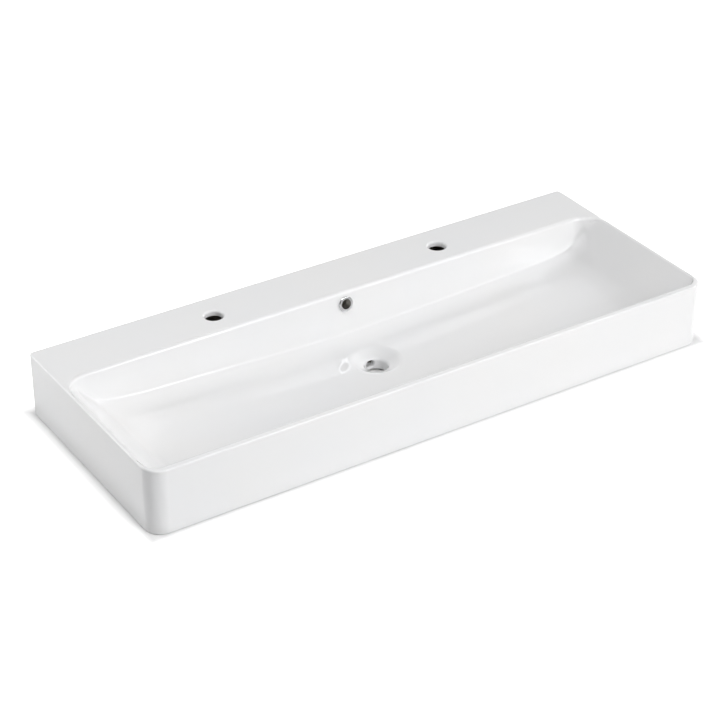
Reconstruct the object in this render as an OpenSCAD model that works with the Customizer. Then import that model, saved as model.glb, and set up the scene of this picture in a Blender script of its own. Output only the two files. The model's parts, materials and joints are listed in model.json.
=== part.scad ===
// Trough sink: a long rectangular basin in one glazed ceramic casting, open underneath, with a deck
// along the wall for two taps, a central drain and an overflow hole with a trim ring.
// Millimetres. Origin at the middle of the foot: +X along the length, +Y towards the wall, +Z up.

/* [Overall] */
// Length of the basin along the wall
length = 1200; // [1000:10:1400]
// Depth of the basin from its front face to the wall
depth = 465; // [440:5:500]
// Height of the basin from its foot to its rim
height = 130; // [124:1:150]

/* [Outer form] */
// Radius of the two upright corners at the front
front_corner_r = 33; // [28:1:45]
// Radius of the two upright corners at the wall
back_corner_r = 8; // [3.5:0.5:12]
// Rounding along the outer top edge and the foot
edge_r = 3; // [1.5:0.5:3]

/* [Casting] */
// Thickness of the apron at the front and the sides
apron_t = 11; // [9:0.5:14]
// Thickness of the upright wall that meets the room's wall
back_t = 12; // [10:0.5:16]
// Thickness of the deck and the rim
deck_t = 11; // [9:0.5:14]
// Thickness of the bowl's skin
skin_t = 12; // [10:0.5:13]
// Thickness of the stiffening webs underneath
web_t = 9; // [7:0.5:12]
// Distance of each web from the middle
web_x = 335; // [325:5:370]
// Height of the webs' lower edge above the foot
web_clear = 12; // [6:1:18]

/* [Bowl] */
// Depth of the flat deck between the wall and the bowl
deck_d = 119; // [110:1:130]
// Width of the rim at the front
front_rim = 15; // [14:0.5:22]
// Width of the rim at each end
side_rim = 6; // [5:0.5:10]
// Rounding of the edge where the rim turns down into the bowl
rim_r = 6; // [4:0.5:7]
// Radius of the two corners of the bowl's mouth at the deck, seen from above
back_mouth_r = 50; // [40:1:56]
// Radius of the two corners of the bowl's mouth at the front, seen from above
front_mouth_r = 26; // [18:1:34]
// Lean of the bowl's back wall from upright, in degrees
back_lean = 11.3; // [9:0.1:14]
// Lean of the bowl's front wall from upright, in degrees
front_lean = 7; // [5:0.5:9]
// Height of the bowl's floor beside the drain
floor_h = 36; // [34:0.5:44]
// Fall of the floor along the length, in millimetres per metre
floor_fall = 33; // [10:1:40]
// Slope of the band of floor along the foot of each long wall, in percent
band_slope = 20; // [5:1:25]
// Distance from the bowl's long edges to the inner side of those bands
band_d = 71; // [55:1:90]
// Lean of the slope at each end of the bowl from upright, in degrees
end_lean = 46.3; // [43:0.1:50]
// Softness of the bend where the floor meets these slopes
end_foot_soft = 6; // [4:0.5:12]
// Distance from the rim at each end to where the floor begins to sweep up
sweep_run = 168; // [150:2:190]
// Radius of that sweep of the floor
sweep_r = 385; // [340:5:480]
// Softness of the inside corner along the foot of the back wall
back_foot_soft = 2.6; // [2:0.1:6]
// Softness of the inside corner along the foot of the front wall
front_foot_soft = 14; // [6:1:20]
// Softness of the inside corners at the bowl's ends
corner_soft = 26; // [15:1:34]

/* [Drain] */
// Radius of the drain hole
drain_r = 22.5; // [20:0.5:24]
// Rounding of the drain hole's lip
drain_lip_r = 7; // [4:0.5:8]
// Radius of the round dish that the drain sits in
dish_r = 47; // [42:1:52]
// Depth of the dish below the floor
dish_depth = 8; // [6:0.5:9]
// Wall thickness of the boss around the drain hole
boss_t = 11.5; // [9:0.5:14]
// Height of the boss's flat seat above the foot
boss_seat = 4; // [2:0.5:6]

/* [Tap holes] */
// Radius of the tap holes
tap_r = 17.5; // [16:0.5:18.5]
// Distance between the centres of the two tap holes
tap_spacing = 504; // [400:2:560]
// Distance of the tap holes' centres from the wall
tap_from_wall = 63.5; // [55:0.5:70]
// Rounding of the tap holes' lips
tap_lip_r = 4.5; // [3:0.5:5]

/* [Overflow] */
// Depth of the overflow hole's centre below the rim
overflow_drop = 24.3; // [22:0.1:30]
// Radius of the hole in the bowl's back wall
overflow_r = 12.5; // [12:0.1:13.5]
// Width of the overflow channel inside the casting
channel_w = 36; // [30:1:44]
// Depth of the overflow channel inside the casting
channel_d = 14; // [10:0.5:15]
// Thickness of the casting around the channel
channel_t = 7; // [6:0.5:9]
// Width of the outlet in the drain hole's wall
port_w = 20; // [14:1:24]
// Height of the outlet in the drain hole's wall
port_h = 14; // [9:0.5:15]

/* [Overflow trim] */
// Radius of the trim ring's flange
ring_r = 15; // [14:0.1:17]
// Radius of the opening through the trim ring
ring_open_r = 10; // [8.5:0.1:10.2]
// Thickness of the trim ring's flange
ring_t = 3; // [2:0.5:4]
// Wall of the trim ring's tubular shank
shank_t = 0.9; // [0.7:0.1:1]
// Length of the trim ring's shank behind its flange
shank_l = 14; // [10:0.5:16]
// Thickness of the gasket under the flange
gasket_t = 0.8; // [0.5:0.1:1.5]
// Gap between the round parts that fit in one another
fit_gap = 0.15; // [0.1:0.05:0.3]
// Width of the four slots that let the sleeve spring
sleeve_slot = 2; // [1.5:0.1:3]
// Length of the sleeve behind the glazed face
sleeve_l = 16; // [14.5:0.5:18]
// Radial height of the sleeve's catch behind the wall
catch_h = 0.6; // [0.3:0.1:1]

/* [Wall fixings] */
// Number of holes for the wall bolts
fixing_count = 4; // [2:2:4]
// Spacing of the holes for the wall bolts
fixing_spacing = 280; // [240:10:300]
// Radius of the holes for the wall bolts
fixing_r = 9; // [7:0.5:11]
// Height of the holes for the wall bolts above the foot
fixing_h = 74; // [60:1:85]
// Radius of the pads that thicken the back wall at these holes
fixing_pad_r = 21; // [16:1:24]
// Thickness that the pads add
fixing_pad_t = 6; // [3:0.5:8]

/* [Hidden] */

ROUND = 64;
CUT = 5;
FILM = 0.3;

half_l = length / 2;
front_y = -depth / 2;
back_y = depth / 2;
rim_x = half_l - side_rim;
bowl_front_y = front_y + front_rim;
bowl_back_y = back_y - deck_d;
sweep_x = rim_x - sweep_run;

// The middle of the trough is eased over this length, so that the two falls meet without a crease
MIDDLE_EASE = 60;
// The bands along the long walls ease into the floor over this width
BAND_EASE = 12;
// The bands fade out along the length over this distance from the start of the sweep
BAND_FADE = 200;
// Length over which the inside corners soften towards each end
CORNER_RUN = 80;
// Softness of the rim's turn, for a turn of the radius rim_r
rim_soft = rim_r * 0.62;

// The cavity's ledge lies a film above the rim, so that the turned edge runs out smoothly
ledge_z = height + FILM;

function clamp(v, low, high) = min(max(v, low), high);
function ease(v) = let (u = clamp(v, 0, 1)) u * u * (3 - 2 * u);
function soft_min(a, b, k) = (a + b - sqrt((a - b) * (a - b) + k * k)) / 2;
function soft_max(a, b, k) = (a + b + sqrt((a - b) * (a - b) + k * k)) / 2;
function band(s) = band_slope / 100 * (s + sqrt(s * s + BAND_EASE * BAND_EASE)) / 2;

// Floor of the trough before its ends sweep up: it falls to the middle and from both long walls
function trough(x, y) =
    let (fall = floor_fall / 1000 * (sqrt(x * x + MIDDLE_EASE * MIDDLE_EASE) - MIDDLE_EASE))
    let (bands = band(y - bowl_back_y + band_d) + band(bowl_front_y + band_d - y))
    floor_h + fall + bands * (1 - ease((abs(x) - sweep_x) / BAND_FADE));

// Floor with its ends swept up and met by the end slopes; t is a distance below the glazed surface
function swept(x, y, t) =
    let (sweep = pow(max(abs(x) - sweep_x, 0), 2) / (2 * sweep_r))
    let (slope = height - (rim_x - abs(x) + t / cos(end_lean)) / tan(end_lean))
    soft_max(slope, trough(x, y) + sweep - t, end_foot_soft);

// How far an edge of the mouth draws in where it turns the corner: an arc of the radius r, and past
// its steep end straight on
function draw_in(x, r) =
    let (u = max(abs(x) - rim_x + r, 0))
    let (arc_end = 0.985 * r)
    let (turn = min(u, arc_end))
    r - sqrt(r * r - turn * turn) + (u - turn) * arc_end / sqrt(r * r - arc_end * arc_end);
function back_edge(x) = bowl_back_y - draw_in(x, back_mouth_r);
function front_edge(x) = bowl_front_y + draw_in(x, front_mouth_r);

// The outer front face, which turns back at the two upright corners
function outer_front(x) =
    let (u = clamp(abs(x) - half_l + front_corner_r, 0, front_corner_r))
    front_y + front_corner_r - sqrt(front_corner_r * front_corner_r - u * u);

// Height of each long wall above a point, and the softness of the corner at its foot
function back_wall(x, y, t) = height - (back_edge(x) + t / cos(back_lean) - y) / tan(back_lean);
function front_wall(x, y, t) = height - (y - front_edge(x) + t / cos(front_lean)) / tan(front_lean);
function foot_soft(x, y, soft) =
    let (room = max(height - swept(x, y, 0), 0))
    min(soft + (corner_soft - soft) * ease((abs(x) - rim_x) / CORNER_RUN + 1), 2 + 0.9 * room);

// The bowl's surface, or its outer skin at a distance t below it
function bowl(x, y, t) =
    let (floor_z = swept(x, y, t))
    let (with_back = soft_max(back_wall(x, y, t), floor_z, foot_soft(x, y, back_foot_soft)))
    soft_max(front_wall(x, y, t), with_back, foot_soft(x, y, front_foot_soft));
function glazed(x, y) = soft_min(bowl(x, y, 0), ledge_z, rim_soft);

// Horizontal run of a long wall from its edge down to the floor
function back_run(x) = max(tan(back_lean) * (height - swept(x, back_edge(x) - rim_r, 0)), 2);
function front_run(x) = max(tan(front_lean) * (height - swept(x, front_edge(x) + rim_r, 0)), 2);

// Stations along the length, from the middle to past the rim, and then both ways
middle_x = [0, 30, 60, 100, 150, 210, 280, 350, 400];
bend_d = [92, 82, 74, 66, 58];
rise_n = 4;
rise_x = [for (i = [0:rise_n - 1]) sweep_x + (sweep_run - bend_d[0]) * i / rise_n];
bend_x = [for (d = bend_d) rim_x - d];
wide_turn_x = [for (a = [0, 10, 20]) rim_x - back_mouth_r + back_mouth_r * sin(a)];
turn_x = [for (a = [0, 18, 35, 50, 64, 77]) rim_x - front_mouth_r + front_mouth_r * sin(a)];
lip_x = [rim_x + 0.1 * rim_r, rim_x + 0.35 * rim_r, half_l + CUT];
right_x = concat(
    [for (x = middle_x) if (x < sweep_x - 10) x],
    rise_x,
    bend_x,
    [for (x = wide_turn_x) if (x < turn_x[0] - 3) x],
    turn_x,
    lip_x
);
bowl_x = concat([for (i = [len(right_x) - 1:-1:1]) -right_x[i]], right_x);

// Stations across the bowl at one x, from past the back edge to past the front edge
function across(x) =
    let (e = min(abs(x), rim_x))
    let (b = back_edge(e), f = front_edge(e), br = back_run(e), fr = front_run(e))
    let (bf = b - br, ff = f + fr)
    let (floor_from = bf - 45, floor_to = ff + 45)
    concat(
        [bowl_back_y + 3 * rim_r, b + 0.8 * rim_r, b + 0.3 * rim_r, b],
        [for (u = [0.1, 0.25, 0.8, 0.95]) b - u * br],
        [bf - 0.4, bf - 1.4, bf - 4, bf - 10, bf - 22],
        [for (i = [0:5]) floor_from + (floor_to - floor_from) * i / 5],
        [ff + 28, ff + 16, ff + 8, ff + 3, ff],
        [for (u = [0.85, 0.6, 0.3, 0.12]) f + u * fr],
        [f, f - 0.3 * rim_r, f - 0.8 * rim_r, front_y - CUT]
    );

// A solid whose lower face is a grid of points, row by row, under a flat top
module under_grid(rows, top_z) {
    n = len(rows);
    m = len(rows[0]);
    corners = [rows[0][0], rows[0][m - 1], rows[n - 1][m - 1], rows[n - 1][0]];
    lid = [for (p = corners) [p[0], p[1], top_z]];
    points = concat([for (row = rows) each row], lid);
    c = n * m;
    grid = [
        for (i = [0:n - 2])
            for (j = [0:m - 2])
                let (a = i * m + j)
                each [[a, a + 1, a + m], [a + 1, a + m + 1, a + m]]
    ];
    first_end = concat([c, c + 1], [for (j = [m - 1:-1:0]) j]);
    last_end = concat([c + 2, c + 3], [for (j = [0:m - 1]) (n - 1) * m + j]);
    back_side = concat([c + 3, c], [for (i = [0:n - 1]) i * m]);
    front_side = concat([c + 1, c + 2], [for (i = [n - 1:-1:0]) i * m + m - 1]);
    polyhedron(points, concat(grid, [[c + 3, c + 2, c + 1, c], first_end, last_end, back_side, front_side]));
}

// The space that is left open in the bowl
module bowl_cavity() {
    under_grid([for (x = bowl_x) [for (y = across(x)) [x, y, glazed(x, y)]]], height + CUT);
}

// The bowl's skin: everything from its outer face up into the rim
skin_cap = height - deck_t + 6;
skin_end_d = [205, 174, 150, 128, 108, 90, 75, 65, 57, 49, 40, 30, 18, apron_t / 2];
skin_x = concat([0, 90, 190, 290, 380], [for (d = skin_end_d) half_l - d]);
skin_rows_x = concat([for (i = [len(skin_x) - 1:-1:1]) -skin_x[i]], skin_x);
function skin_across(x) =
    let (b = back_edge(x) + skin_t, f = front_edge(x) - skin_t / 2)
    let (bf = b - back_run(x), ff = f + front_run(x) + skin_t)
    concat(
        [bowl_back_y + 3 * skin_t / 2, b + 1, b - 0.2 * back_run(x), bf + 0.2 * back_run(x)],
        [bf - 1, bf - 5, bf - 12, bf - 28],
        [for (i = [0:3]) bf - 60 + (ff + 110 - bf) * i / 3],
        [ff + 28, ff + 14, ff + 5, ff - 2, outer_front(x) + edge_r]
    );
module bowl_skin() {
    rows = [
        for (x = skin_rows_x)
            [for (y = skin_across(x)) [x, y, min(bowl(x, y, skin_t), skin_cap - 2)]]
    ];
    under_grid(rows, skin_cap);
}

// Upright section of an edge: a rectangle from the axis out to w, with its outer corners rounded
module edge_section(w) {
    intersection() {
        square([w, height]);
        union() {
            square([w - edge_r, height]);
            translate([0, edge_r])
                square([w, height - 2 * edge_r]);
            for (z = [edge_r, height - edge_r])
                translate([w - edge_r, z])
                    circle(edge_r, $fn = ROUND);
        }
    }
}

// An edge section run along +X from the origin, with its outer side towards +Y
module edge_run(w, run) {
    rotate([90, 0, 90])
        linear_extrude(run)
            edge_section(w);
}

// The basin's outer block, solid
module outer_block() {
    inner_x = half_l - front_corner_r;
    for (s = [0, 1])
        mirror([s, 0, 0]) {
            // front half and back half of the long middle
            mirror([0, 1, 0])
                edge_run(depth / 2, inner_x);
            edge_run(depth / 2, inner_x);
            // the back strip beyond the front corners' centres
            translate([inner_x, 0, 0])
                edge_run(depth / 2, front_corner_r - back_corner_r);
            // the side
            translate([inner_x, back_y - back_corner_r, 0])
                rotate([0, 0, -90])
                    edge_run(front_corner_r, depth - back_corner_r - front_corner_r);
            // the two upright corners
            translate([inner_x, front_y + front_corner_r, 0])
                rotate([0, 0, -90])
                    rotate_extrude(angle = 90, $fn = ROUND)
                        edge_section(front_corner_r);
            translate([half_l - back_corner_r, back_y - back_corner_r, 0])
                rotate_extrude(angle = 90, $fn = ROUND)
                    edge_section(back_corner_r);
        }
}

// The open space underneath, up to the deck and the rim
module under_space() {
    inner_r = front_corner_r - apron_t;
    x = half_l - apron_t;
    y0 = front_y + apron_t;
    y1 = back_y - back_t;
    translate([0, 0, -CUT])
        linear_extrude(height - deck_t + CUT) {
            translate([-x, y0 + inner_r])
                square([2 * x, y1 - y0 - inner_r]);
            translate([-x + inner_r, y0])
                square([2 * (x - inner_r), depth / 2]);
            for (s = [-1, 1])
                translate([s * (x - inner_r), y0 + inner_r])
                    circle(inner_r, $fn = ROUND);
        }
}

module webs() {
    for (s = [-1, 1])
        translate([s * web_x - web_t / 2, front_y + apron_t / 2, web_clear])
            cube([web_t, depth - apron_t / 2 - back_t / 2, height - deck_t / 2 - web_clear]);
}

// Places of the drain, the overflow and its channel
lip_z = floor_h - dish_depth;
boss_r = drain_r + boss_t;
overflow_z = height - overflow_drop;
overflow_y = bowl_back_y - tan(back_lean) * overflow_drop;

// A plane parallel to the back wall at a distance behind it
function behind(z, off) = bowl_back_y - tan(back_lean) * (height - z) + off / cos(back_lean);

// The channel's route: down behind the wall and along under the floor, at a distance off below the
// glazed surface, as points of its upright section from the top down to the drain
foot_z = trough(0, bowl_back_y - 18);
function route(off, top_z, end_y) = [
    [behind(top_z, off), top_z],
    [behind(foot_z - off, off), foot_z - off],
    [bowl_back_y - band_d / 2, trough(0, bowl_back_y - band_d / 2) - off],
    [bowl_back_y - band_d, trough(0, bowl_back_y - band_d) - off],
    [end_y, floor_h - off]
];
function back_again(points) = [for (i = [len(points) - 1:-1:0]) points[i]];

module channel_section(from, to, top_z, end_y) {
    polygon(concat(route(from, top_z, end_y), back_again(route(to, top_z, end_y))));
}

module across_middle(w) {
    translate([-w / 2, 0, 0])
        rotate([90, 0, 90])
            linear_extrude(w)
                children();
}

channel_from = skin_t - 0.6;
channel_to = channel_from + channel_d;
channel_end_y = drain_r + 0.8 * boss_t;

module channel_walls() {
    across_middle(channel_w + 2 * channel_t)
        channel_section(skin_t / 2, channel_to + channel_t, height - deck_t / 2, boss_r - 3);
}

// The outlet is a slot with round ends through the boss into the drain hole, its top a little below
// the channel's roof
PORT_DROP = 1.5;
port_z = floor_h - channel_from - port_h / 2 - PORT_DROP;
module channel_space() {
    across_middle(channel_w)
        channel_section(channel_from, channel_to, overflow_z + overflow_r, channel_end_y);
    translate([0, channel_end_y + 3, port_z])
        rotate([90, 0, 0])
            linear_extrude(channel_end_y + 3) {
                square([port_w - port_h, port_h], center = true);
                for (s = [-1, 1])
                    translate([s * (port_w - port_h) / 2, 0])
                        circle(port_h / 2, $fn = ROUND);
            }
}

// The boss under the drain, spread out below the dish
module drain_boss() {
    rotate_extrude($fn = ROUND)
        polygon([
            [0, boss_seat],
            [boss_r, boss_seat],
            [boss_r, lip_z - skin_t],
            [dish_r + 3, floor_h - skin_t - 3],
            [dish_r + 3, floor_h - skin_t / 2],
            [0, floor_h - skin_t / 2]
        ]);
}

// The drain hole with its rounded lip, and the dish around it
module drain_space() {
    translate([0, 0, -CUT])
        cylinder(h = height, r = drain_r, $fn = ROUND);
    rotate_extrude($fn = ROUND)
        difference() {
            polygon([
                [0, lip_z - drain_lip_r],
                [drain_r + drain_lip_r, lip_z - drain_lip_r],
                [drain_r + drain_lip_r, lip_z],
                [dish_r, floor_h + 0.6],
                [dish_r + 2, floor_h + CUT],
                [0, floor_h + CUT]
            ]);
            translate([drain_r + drain_lip_r, lip_z - drain_lip_r])
                circle(drain_lip_r, $fn = ROUND);
        }
}

module tap_places() {
    for (s = [-1, 1])
        translate([s * tap_spacing / 2, back_y - tap_from_wall, 0])
            children();
}

// A hole through the deck, with its upper lip rounded
module tap_space() {
    cylinder(h = height + CUT, r = tap_r, $fn = ROUND);
    translate([0, 0, height - tap_lip_r])
        rotate_extrude($fn = ROUND)
            difference() {
                square([tap_r + tap_lip_r, tap_lip_r + CUT]);
                translate([tap_r + tap_lip_r, 0])
                    circle(tap_lip_r, $fn = ROUND);
            }
}

module fixing_places() {
    for (i = [0:fixing_count - 1])
        translate([(i - (fixing_count - 1) / 2) * fixing_spacing, back_y, fixing_h])
            rotate([90, 0, 0])
                children();
}

// The overflow's own axis: its origin on the glazed face, +Z into the bowl
module overflow_place() {
    translate([0, overflow_y, overflow_z])
        rotate([90 - back_lean, 0, 0])
            children();
}

module tube(outer_r, inner_r, from, to) {
    translate([0, 0, from])
        difference() {
            cylinder(h = to - from, r = outer_r, $fn = ROUND);
            translate([0, 0, -1])
                cylinder(h = to - from + 2, r = inner_r, $fn = ROUND);
        }
}

module basin() {
    color("white")
        difference() {
            union() {
                difference() {
                    outer_block();
                    under_space();
                }
                bowl_skin();
                webs();
                channel_walls();
                drain_boss();
                fixing_places()
                    translate([0, 0, back_t / 2])
                        cylinder(h = back_t / 2 + fixing_pad_t, r = fixing_pad_r, $fn = ROUND);
            }
            bowl_cavity();
            drain_space();
            channel_space();
            tap_places()
                tap_space();
            fixing_places()
                translate([0, 0, -CUT])
                    cylinder(h = back_t + fixing_pad_t + 2 * CUT, r = fixing_r, $fn = ROUND);
            overflow_place()
                translate([0, 0, -skin_t - channel_d / 2])
                    cylinder(h = skin_t + channel_d / 2 + CUT, r = overflow_r, $fn = ROUND);
        }
}

shank_r = ring_open_r + shank_t;

module overflow_ring() {
    color("silver")
        overflow_place()
            rotate_extrude($fn = ROUND) {
                round_r = ring_t / 2;
                translate([ring_open_r, gasket_t])
                    square([ring_r - ring_open_r - round_r, ring_t]);
                translate([ring_open_r, gasket_t])
                    square([ring_r - ring_open_r, round_r]);
                translate([ring_r - round_r, gasket_t + round_r])
                    circle(round_r, $fn = ROUND);
                translate([ring_open_r, -shank_l])
                    square([shank_t, shank_l + gasket_t + round_r]);
            }
}

module overflow_sleeve() {
    bore_r = shank_r + fit_gap;
    outer_r = overflow_r - fit_gap;
    color("dimgray")
        overflow_place()
            difference() {
                union() {
                    tube(outer_r, bore_r, -sleeve_l, 0);
                    tube(outer_r + catch_h, bore_r, -sleeve_l, -skin_t - 2 * fit_gap);
                }
                for (a = [0, 90])
                    rotate([0, 0, a + 45])
                        translate([-overflow_r - CUT, -sleeve_slot / 2, -sleeve_l - CUT])
                            cube([2 * (overflow_r + CUT), sleeve_slot, sleeve_l + CUT - 4]);
            }
}

module overflow_gasket() {
    color("gray")
        overflow_place()
            tube(ring_r - 0.6, shank_r + fit_gap, 0, gasket_t);
}

basin();
overflow_ring();
overflow_sleeve();
overflow_gasket();
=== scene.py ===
import json
import math

import bmesh
import bpy
import numpy as np
from mathutils import Matrix, Vector

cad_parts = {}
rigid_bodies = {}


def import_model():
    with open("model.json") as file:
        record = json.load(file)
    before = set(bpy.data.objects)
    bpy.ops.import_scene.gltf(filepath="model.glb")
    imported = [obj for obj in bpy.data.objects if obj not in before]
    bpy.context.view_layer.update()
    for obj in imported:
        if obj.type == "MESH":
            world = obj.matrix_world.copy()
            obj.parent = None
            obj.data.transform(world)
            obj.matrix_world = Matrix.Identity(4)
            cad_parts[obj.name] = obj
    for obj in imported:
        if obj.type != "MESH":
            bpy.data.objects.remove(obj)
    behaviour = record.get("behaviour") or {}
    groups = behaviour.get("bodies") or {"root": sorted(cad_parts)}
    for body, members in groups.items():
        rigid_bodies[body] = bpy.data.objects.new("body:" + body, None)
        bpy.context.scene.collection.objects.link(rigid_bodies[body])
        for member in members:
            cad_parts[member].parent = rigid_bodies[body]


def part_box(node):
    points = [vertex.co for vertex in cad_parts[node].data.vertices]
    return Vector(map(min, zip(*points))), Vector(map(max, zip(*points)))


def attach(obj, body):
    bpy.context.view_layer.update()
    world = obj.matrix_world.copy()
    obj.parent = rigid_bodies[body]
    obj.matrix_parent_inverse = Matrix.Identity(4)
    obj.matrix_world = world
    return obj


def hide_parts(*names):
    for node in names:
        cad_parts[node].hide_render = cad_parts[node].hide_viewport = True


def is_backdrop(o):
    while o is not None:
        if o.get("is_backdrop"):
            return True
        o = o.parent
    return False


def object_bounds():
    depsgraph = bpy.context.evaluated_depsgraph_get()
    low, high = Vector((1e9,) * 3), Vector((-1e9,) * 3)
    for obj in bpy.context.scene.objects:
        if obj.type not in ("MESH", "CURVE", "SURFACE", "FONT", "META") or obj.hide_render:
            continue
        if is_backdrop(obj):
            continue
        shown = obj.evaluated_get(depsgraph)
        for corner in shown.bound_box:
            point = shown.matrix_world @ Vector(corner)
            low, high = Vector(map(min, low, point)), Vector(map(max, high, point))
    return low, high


for left_over in list(bpy.data.objects):
    bpy.data.objects.remove(left_over)

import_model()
cad_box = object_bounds()

# ---------------------------------------------------------------- sizes, in millimetres
MM = 0.001

low_corner, high_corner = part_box("basin")
LENGTH, DEPTH, HEIGHT = ((b - a) / MM for a, b in zip(low_corner, high_corner))
HALF_L = LENGTH / 2
FRONT_Y = -DEPTH / 2
BACK_Y = DEPTH / 2

# Outer form
FRONT_CORNER_R = 33
BACK_CORNER_R = 8
EDGE_R = 3

# Casting
APRON_T = 11
BACK_T = 12
DECK_T = 11
SKIN_T = 12
WEB_T = 9
WEB_X = 335
WEB_CLEAR = 12
WEB_EDGE_R = 2.5
CAST_R = 7

# Bowl
DECK_D = 119
FRONT_RIM = 15
SIDE_RIM = 6
RIM_R = 6
SIDE_RIM_R = 2.4
BACK_MOUTH_R = 50
FRONT_MOUTH_R = 26
BACK_LEAN = math.radians(11.3)
FRONT_LEAN = math.radians(7)
FLOOR_H = 36
FLOOR_FALL = 0.033
BAND_SLOPE = 0.20
BAND_D = 71
END_LEAN = math.radians(46.3)
END_FOOT_SOFT = 6
SWEEP_RUN = 168
SWEEP_R = 385
BACK_FOOT_SOFT = 8
FRONT_FOOT_SOFT = 14
CORNER_SOFT = 26
MIDDLE_EASE = 60
BAND_EASE = 12
BAND_FADE = 200
CORNER_RUN = 80
FOOT_SOFT_LEAST = 2
FOOT_SOFT_SHARE = 0.9
MOUTH_TURN_SHARE = 0.985

# Drain
DRAIN_R = 22.5
DRAIN_LIP_R = 7
DISH_R = 47
DISH_DEPTH = 8
DISH_SOFT = 2.5
DISH_OVER = 0.6
BOSS_T = 11.5
BOSS_SEAT = 4
BOSS_EDGE_R = 1.5
BOSS_FLARE = 17
BOSS_FLARE_H = BOSS_FLARE * 0.62

# Tap holes
TAP_R = 17.5
TAP_LIP_R = 4.5
TAP_X = 252
TAP_Y = BACK_Y - 63.5

# Overflow
OVERFLOW_DROP = 24.3
OVERFLOW_R = 12.5
OVERFLOW_LIP_R = 1
CHANNEL_W = 36
CHANNEL_D = 14
CHANNEL_T = 7
CHANNEL_SEAT = 0.6
CHANNEL_FOOT_D = 18
PORT_W = 20
PORT_H = 14
PORT_DROP = 1.5

# Wall fixings
FIXING_COUNT = 4
FIXING_SPACING = 280
FIXING_R = 9
FIXING_H = 74
FIXING_PAD_R = 21
FIXING_PAD_T = 6

# Worked out from these
RIM_X = HALF_L - SIDE_RIM
SWEEP_X = RIM_X - SWEEP_RUN
BOWL_FRONT_Y = FRONT_Y + FRONT_RIM
BOWL_BACK_Y = BACK_Y - DECK_D
OVERFLOW_Z = HEIGHT - OVERFLOW_DROP
OVERFLOW_Y = BOWL_BACK_Y - math.tan(BACK_LEAN) * OVERFLOW_DROP
DISH_SLOPE = (DISH_DEPTH + DISH_OVER) / (DISH_R - DRAIN_R - DRAIN_LIP_R)
CHANNEL_END_Y = DRAIN_R + 0.8 * BOSS_T

# Mesh: the longest step along a surface, and the largest turn from one step to the next
STEP = 5.4
TURN = math.radians(6.3)
OVERRUN = 5

# Columns may stand this much further apart than a step, and count the back corners' turn this much less
COLUMN_STRETCH = 1.2
BACK_CORNER_STRETCH = 3

# Samples that a line's length and turning are measured on, and a distance that counts as none
COLUMN_SAMPLES = 40001
LINE_SAMPLES = 4001
NEAR = 1e-6

# Mesh round the holes: half the width of the patch that each hole's rings fill
DISH_PATCH = 1.35 * DISH_R
TAP_PATCH = 1.6 * TAP_R
OVERFLOW_PATCH_X = 19
OVERFLOW_PATCH_Z = 18

# Rings of the dish: the band over its edge, and how far inside the edge the next ones begin
DISH_EDGE_BAND = 6
DISH_INNER_BAND = 9

# The tap holes' walls before the space underneath cuts them, and that space's back corners
TAP_TUBE_H = 1.6 * DECK_T
SPACE_BACK_R = 0.5

# Shading: a normal shorter than this, or turned further from its face, gives way to the face's own
SHORT_NORMAL = 0.3
LEAST_FACING = 0.2


# ---------------------------------------------------------------- the bowl's surface
def ease(v):
    u = np.clip(v, 0, 1)
    return u * u * (3 - 2 * u)


def soft_max(a, b, k):
    return (a + b + np.sqrt((a - b) ** 2 + k * k)) / 2


def soft_min_near(a, b, k):
    """The lower of a and b, rounded only where they are less than k apart."""
    h = np.maximum(k - np.abs(a - b), 0)
    return np.minimum(a, b) - h * h / (4 * k)


def band(s):
    return BAND_SLOPE * (s + np.sqrt(s * s + BAND_EASE**2)) / 2


def trough(x, y):
    """The floor before its ends sweep up.

    It falls to the middle, and from the long walls, a fall that fades out towards the ends."""
    fall = FLOOR_FALL * (np.sqrt(x * x + MIDDLE_EASE**2) - MIDDLE_EASE)
    bands = band(y - BOWL_BACK_Y + BAND_D) + band(BOWL_FRONT_Y + BAND_D - y)
    return FLOOR_H + fall + bands * (1 - ease((np.abs(x) - SWEEP_X) / BAND_FADE))


def swept(x, y, t):
    """The floor with its ends swept up to the rim; t is a distance below the glazed surface."""
    sweep = np.maximum(np.abs(x) - SWEEP_X, 0) ** 2 / (2 * SWEEP_R)
    slope = HEIGHT - (RIM_X - np.abs(x) + t / math.cos(END_LEAN)) / math.tan(END_LEAN)
    return soft_max(slope, trough(x, y) + sweep - t, END_FOOT_SOFT)


def draw_in(x, r):
    """How far the mouth's long edge draws in where it turns a corner, and straight on past that."""
    u = np.maximum(np.abs(x) - RIM_X + r, 0)
    end = MOUTH_TURN_SHARE * r
    turn = np.minimum(u, end)
    past = (u - turn) * end / math.sqrt(r**2 - end**2)
    return r - np.sqrt(r**2 - turn * turn) + past


def back_wall(x, y, t):
    edge = BOWL_BACK_Y - draw_in(x, BACK_MOUTH_R)
    return HEIGHT - (edge + t / math.cos(BACK_LEAN) - y) / math.tan(BACK_LEAN)


def front_wall(x, y, t):
    edge = BOWL_FRONT_Y + draw_in(x, FRONT_MOUTH_R)
    return HEIGHT - (y - edge + t / math.cos(FRONT_LEAN)) / math.tan(FRONT_LEAN)


def foot_soft(x, y, soft):
    """Softness of a long wall's foot, which grows towards the bowl's corners."""
    room = np.maximum(HEIGHT - swept(x, y, 0), 0)
    grown = soft + (CORNER_SOFT - soft) * ease((np.abs(x) - RIM_X) / CORNER_RUN + 1)
    return np.minimum(grown, FOOT_SOFT_LEAST + FOOT_SOFT_SHARE * room)


def bowl(x, y, t=0):
    """The bowl's surface, or its outer skin at a distance t below it."""
    with_back = soft_max(back_wall(x, y, t), swept(x, y, t), foot_soft(x, y, BACK_FOOT_SOFT))
    return soft_max(front_wall(x, y, t), with_back, foot_soft(x, y, FRONT_FOOT_SOFT))


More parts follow.
